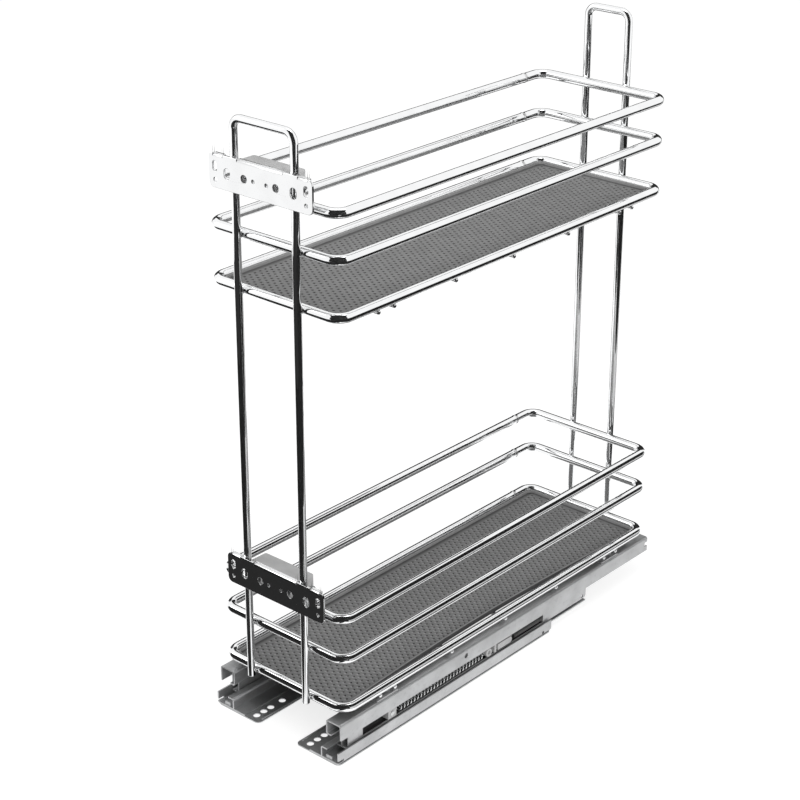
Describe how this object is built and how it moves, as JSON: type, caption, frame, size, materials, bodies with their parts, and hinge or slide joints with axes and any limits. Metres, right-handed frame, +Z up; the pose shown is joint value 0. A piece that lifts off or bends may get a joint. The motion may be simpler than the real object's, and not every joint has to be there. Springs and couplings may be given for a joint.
{
  "type": "pull out larder unit",
  "caption": "Tall narrow pull-out cabinet larder: chromed wire baskets with mats on a hoop frame, door brackets and full-extension slides with spring closing.",
  "frame": {"origin": "middle of the unit's bounding box, at the level of the cabinet floor", "axes": "+X to the right seen from the door, +Y into the cabinet, +Z up; the unit pulls out along -Y"},
  "size_m": [0.155, 0.473, 0.5835],
  "materials": {
    "chrome_wire": "bright chrome plating",
    "chrome_plate": "bright chrome plating on pressed sheet",
    "block_grey": "moulded, satin",
    "mat_grey": "non-slip mat with small dimples",
    "rail_steel": "zinc-plated rolled sheet, satin",
    "screw_steel": "zinc-plated, bright",
    "ball_steel": "hardened and polished",
    "dark_plastic": "moulded, satin",
    "grey_plastic": "moulded, satin",
    "spring_steel": "drawn wire"
  },
  "bodies": {
    "cabinet_rails": {"left_mounting_plate": "rail_steel", "right_mounting_plate": "rail_steel", "left_cabinet_rail": "rail_steel", "right_cabinet_rail": "rail_steel"},
    "middle_rails": {"left_middle_rail": "rail_steel", "right_middle_rail": "rail_steel", "left_closing_housing": "dark_plastic", "right_closing_housing": "dark_plastic", "left_closing_spring": "spring_steel", "right_closing_spring": "spring_steel", "left_closing_catch": "grey_plastic", "right_closing_catch": "grey_plastic", "spring_anchors": "grey_plastic", "anchor_pins": "screw_steel", "dampers": "dark_plastic", "damper_rods": "screw_steel"},
    "lower_ball_cage": {"lower_balls": "ball_steel", "lower_ball_cages": "dark_plastic"},
    "upper_ball_cage": {"upper_balls": "ball_steel", "upper_ball_cages": "dark_plastic"},
    "upper_plate": {"upper_door_plate": "chrome_plate", "upper_plate_slider": "grey_plastic", "upper_slider_rivets": "screw_steel"},
    "lower_plate": {"lower_door_plate": "chrome_plate", "lower_plate_slider": "grey_plastic", "lower_slider_rivets": "screw_steel"},
    "basket_frame": {"front_hoop": "chrome_wire", "rear_hoop": "chrome_wire", "upper_top_rail": "chrome_wire", "upper_middle_rail": "chrome_wire", "upper_bottom_rail": "chrome_wire", "lower_top_rail": "chrome_wire", "lower_middle_rail": "chrome_wire", "lower_bottom_rail": "chrome_wire", "upper_support_wires": "chrome_wire", "lower_support_wires": "chrome_wire", "upper_mat": "mat_grey", "lower_mat": "mat_grey", "upper_clamp_block": "block_grey", "lower_clamp_block": "block_grey", "upper_clamp_screws": "screw_steel", "lower_clamp_screws": "screw_steel", "upper_adjuster_screw": "screw_steel", "lower_adjuster_screw": "screw_steel", "front_carrier": "rail_steel", "rear_carrier": "rail_steel", "carrier_rivets": "screw_steel", "left_runner_rail": "rail_steel", "right_runner_rail": "rail_steel"}
  },
  "joints": [
    {"name": "pull_out", "type": "slide", "parent": "cabinet_rails", "child": "basket_frame", "axis": [0, -1, 0], "range_m": [0, 0.42]},
    {"name": "middle_rail_slide", "type": "slide", "parent": "cabinet_rails", "child": "middle_rails", "axis": [0, -1, 0], "range_m": [0, 0.21]},
    {"name": "lower_cage_roll", "type": "slide", "parent": "cabinet_rails", "child": "lower_ball_cage", "axis": [0, -1, 0], "range_m": [0, 0.105]},
    {"name": "upper_cage_roll", "type": "slide", "parent": "cabinet_rails", "child": "upper_ball_cage", "axis": [0, -1, 0], "range_m": [0, 0.315]},
    {"name": "upper_plate_adjust", "type": "slide", "parent": "basket_frame", "child": "upper_plate", "axis": [1, 0, 0], "range_m": [-0.0045, 0.0045]},
    {"name": "lower_plate_adjust", "type": "slide", "parent": "basket_frame", "child": "lower_plate", "axis": [1, 0, 0], "range_m": [-0.009, 0]}
  ],
  "couplings": [
    {"joint": "middle_rail_slide", "follows": "pull_out", "ratio": 0.5},
    {"joint": "lower_cage_roll", "follows": "pull_out", "ratio": 0.25},
    {"joint": "upper_cage_roll", "follows": "pull_out", "ratio": 0.75}
  ]
}
